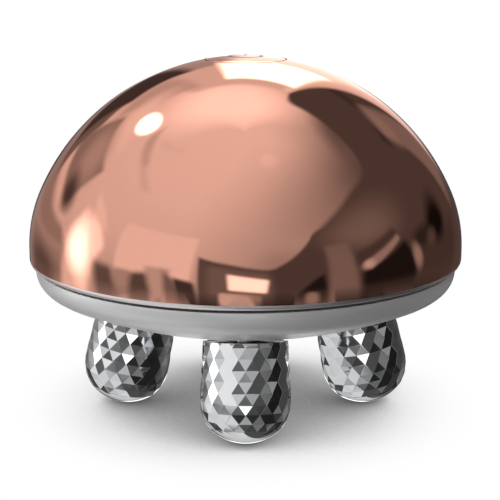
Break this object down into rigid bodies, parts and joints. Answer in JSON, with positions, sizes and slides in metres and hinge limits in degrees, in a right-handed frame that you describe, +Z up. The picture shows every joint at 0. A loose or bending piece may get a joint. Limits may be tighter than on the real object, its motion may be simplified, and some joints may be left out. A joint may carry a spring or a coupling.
{
  "type": "facial massager",
  "caption": "Palm-held facial massager: a mirror copper dome with a flush power button over a satin silver bowl, with chrome faceted rollers that splay outwards and turn on axles.",
  "frame": {"origin": "on the surface that the roller tips stand on, under the middle of the dome", "axes": "+Z up through the crown and the power button, -Y towards the front, where one roller stands, +X to the right; the charging socket is at the back, +Y"},
  "size_m": [0.096, 0.096, 0.0788],
  "materials": {
    "copper_mirror": "moulded shell with a mirror-bright rose copper metallised coat",
    "symbol_inlay": "dark brown inlay, satin, flush with the plating",
    "satin_silver": "moulded bowl with a satin silver metallic coat",
    "roller_chrome": "bright chrome plating over flat triangular facets",
    "steel": "plain ground steel",
    "spring_steel": "dark hardened spring steel",
    "bush_bronze": "sintered bronze",
    "black_rubber": "matte black elastomer",
    "black_plastic": "black moulded plastic",
    "white_lens": "milky lens",
    "board_green": "green solder mask",
    "cell_wrap": "blue shrink wrap",
    "motor_steel": "nickel-plated sheet steel"
  },
  "bodies": {
    "housing": {"dome_cover": "copper_mirror", "base_shell": "satin_silver", "seal_gasket": "black_rubber", "housing_screws": "steel", "bush_front": "bush_bronze", "shaft_seal_front": "black_rubber", "bush_right": "bush_bronze", "shaft_seal_right": "black_rubber", "bush_back": "bush_bronze", "shaft_seal_back": "black_rubber", "bush_left": "bush_bronze", "shaft_seal_left": "black_rubber", "button_guide": "black_plastic", "circuit_board": "board_green", "board_components": "black_plastic", "board_screws": "steel", "tact_switch": "black_plastic", "status_led": "white_lens", "chassis": "black_plastic", "chassis_screws": "steel", "battery_cell": "cell_wrap", "motor_can": "motor_steel", "motor_clamp": "motor_steel", "charging_socket": "motor_steel", "charge_board": "board_green", "charge_board_screws": "steel"},
    "button": {"power_button": "copper_mirror", "power_symbol": "symbol_inlay", "switch_plunger": "black_plastic", "return_spring": "steel"},
    "roller_front": {"roller_front": "roller_chrome", "axle_front": "steel", "clip_front": "spring_steel"},
    "roller_right": {"roller_right": "roller_chrome", "axle_right": "steel", "clip_right": "spring_steel"},
    "roller_back": {"roller_back": "roller_chrome", "axle_back": "steel", "clip_back": "spring_steel"},
    "roller_left": {"roller_left": "roller_chrome", "axle_left": "steel", "clip_left": "spring_steel"},
    "motor_rotor": {"motor_shaft": "steel", "eccentric_weight": "motor_steel"}
  },
  "joints": [
    {"name": "button_press", "type": "slide", "parent": "housing", "child": "button", "axis": [0, 0, -1], "range_m": [0, 0.0007], "stiffness_N_per_m": 700, "springref_m": -0.0008, "deforming": ["return_spring"]},
    {"name": "roller_front_spin", "type": "hinge", "parent": "housing", "child": "roller_front", "pos_m": [0, -0.02675, 0.0105], "axis": [0, 0.2113, 0.9774], "continuous": true},
    {"name": "roller_right_spin", "type": "hinge", "parent": "housing", "child": "roller_right", "pos_m": [0.02675, 0, 0.0105], "axis": [-0.2113, 0, 0.9774], "continuous": true},
    {"name": "roller_back_spin", "type": "hinge", "parent": "housing", "child": "roller_back", "pos_m": [0, 0.02675, 0.0105], "axis": [0, -0.2113, 0.9774], "continuous": true},
    {"name": "roller_left_spin", "type": "hinge", "parent": "housing", "child": "roller_left", "pos_m": [-0.02675, 0, 0.0105], "axis": [0.2113, 0, 0.9774], "continuous": true},
    {"name": "motor_spin", "type": "hinge", "parent": "housing", "child": "motor_rotor", "pos_m": [0, -0.01, 0.04511], "axis": [1, 0, 0], "continuous": true}
  ]
}
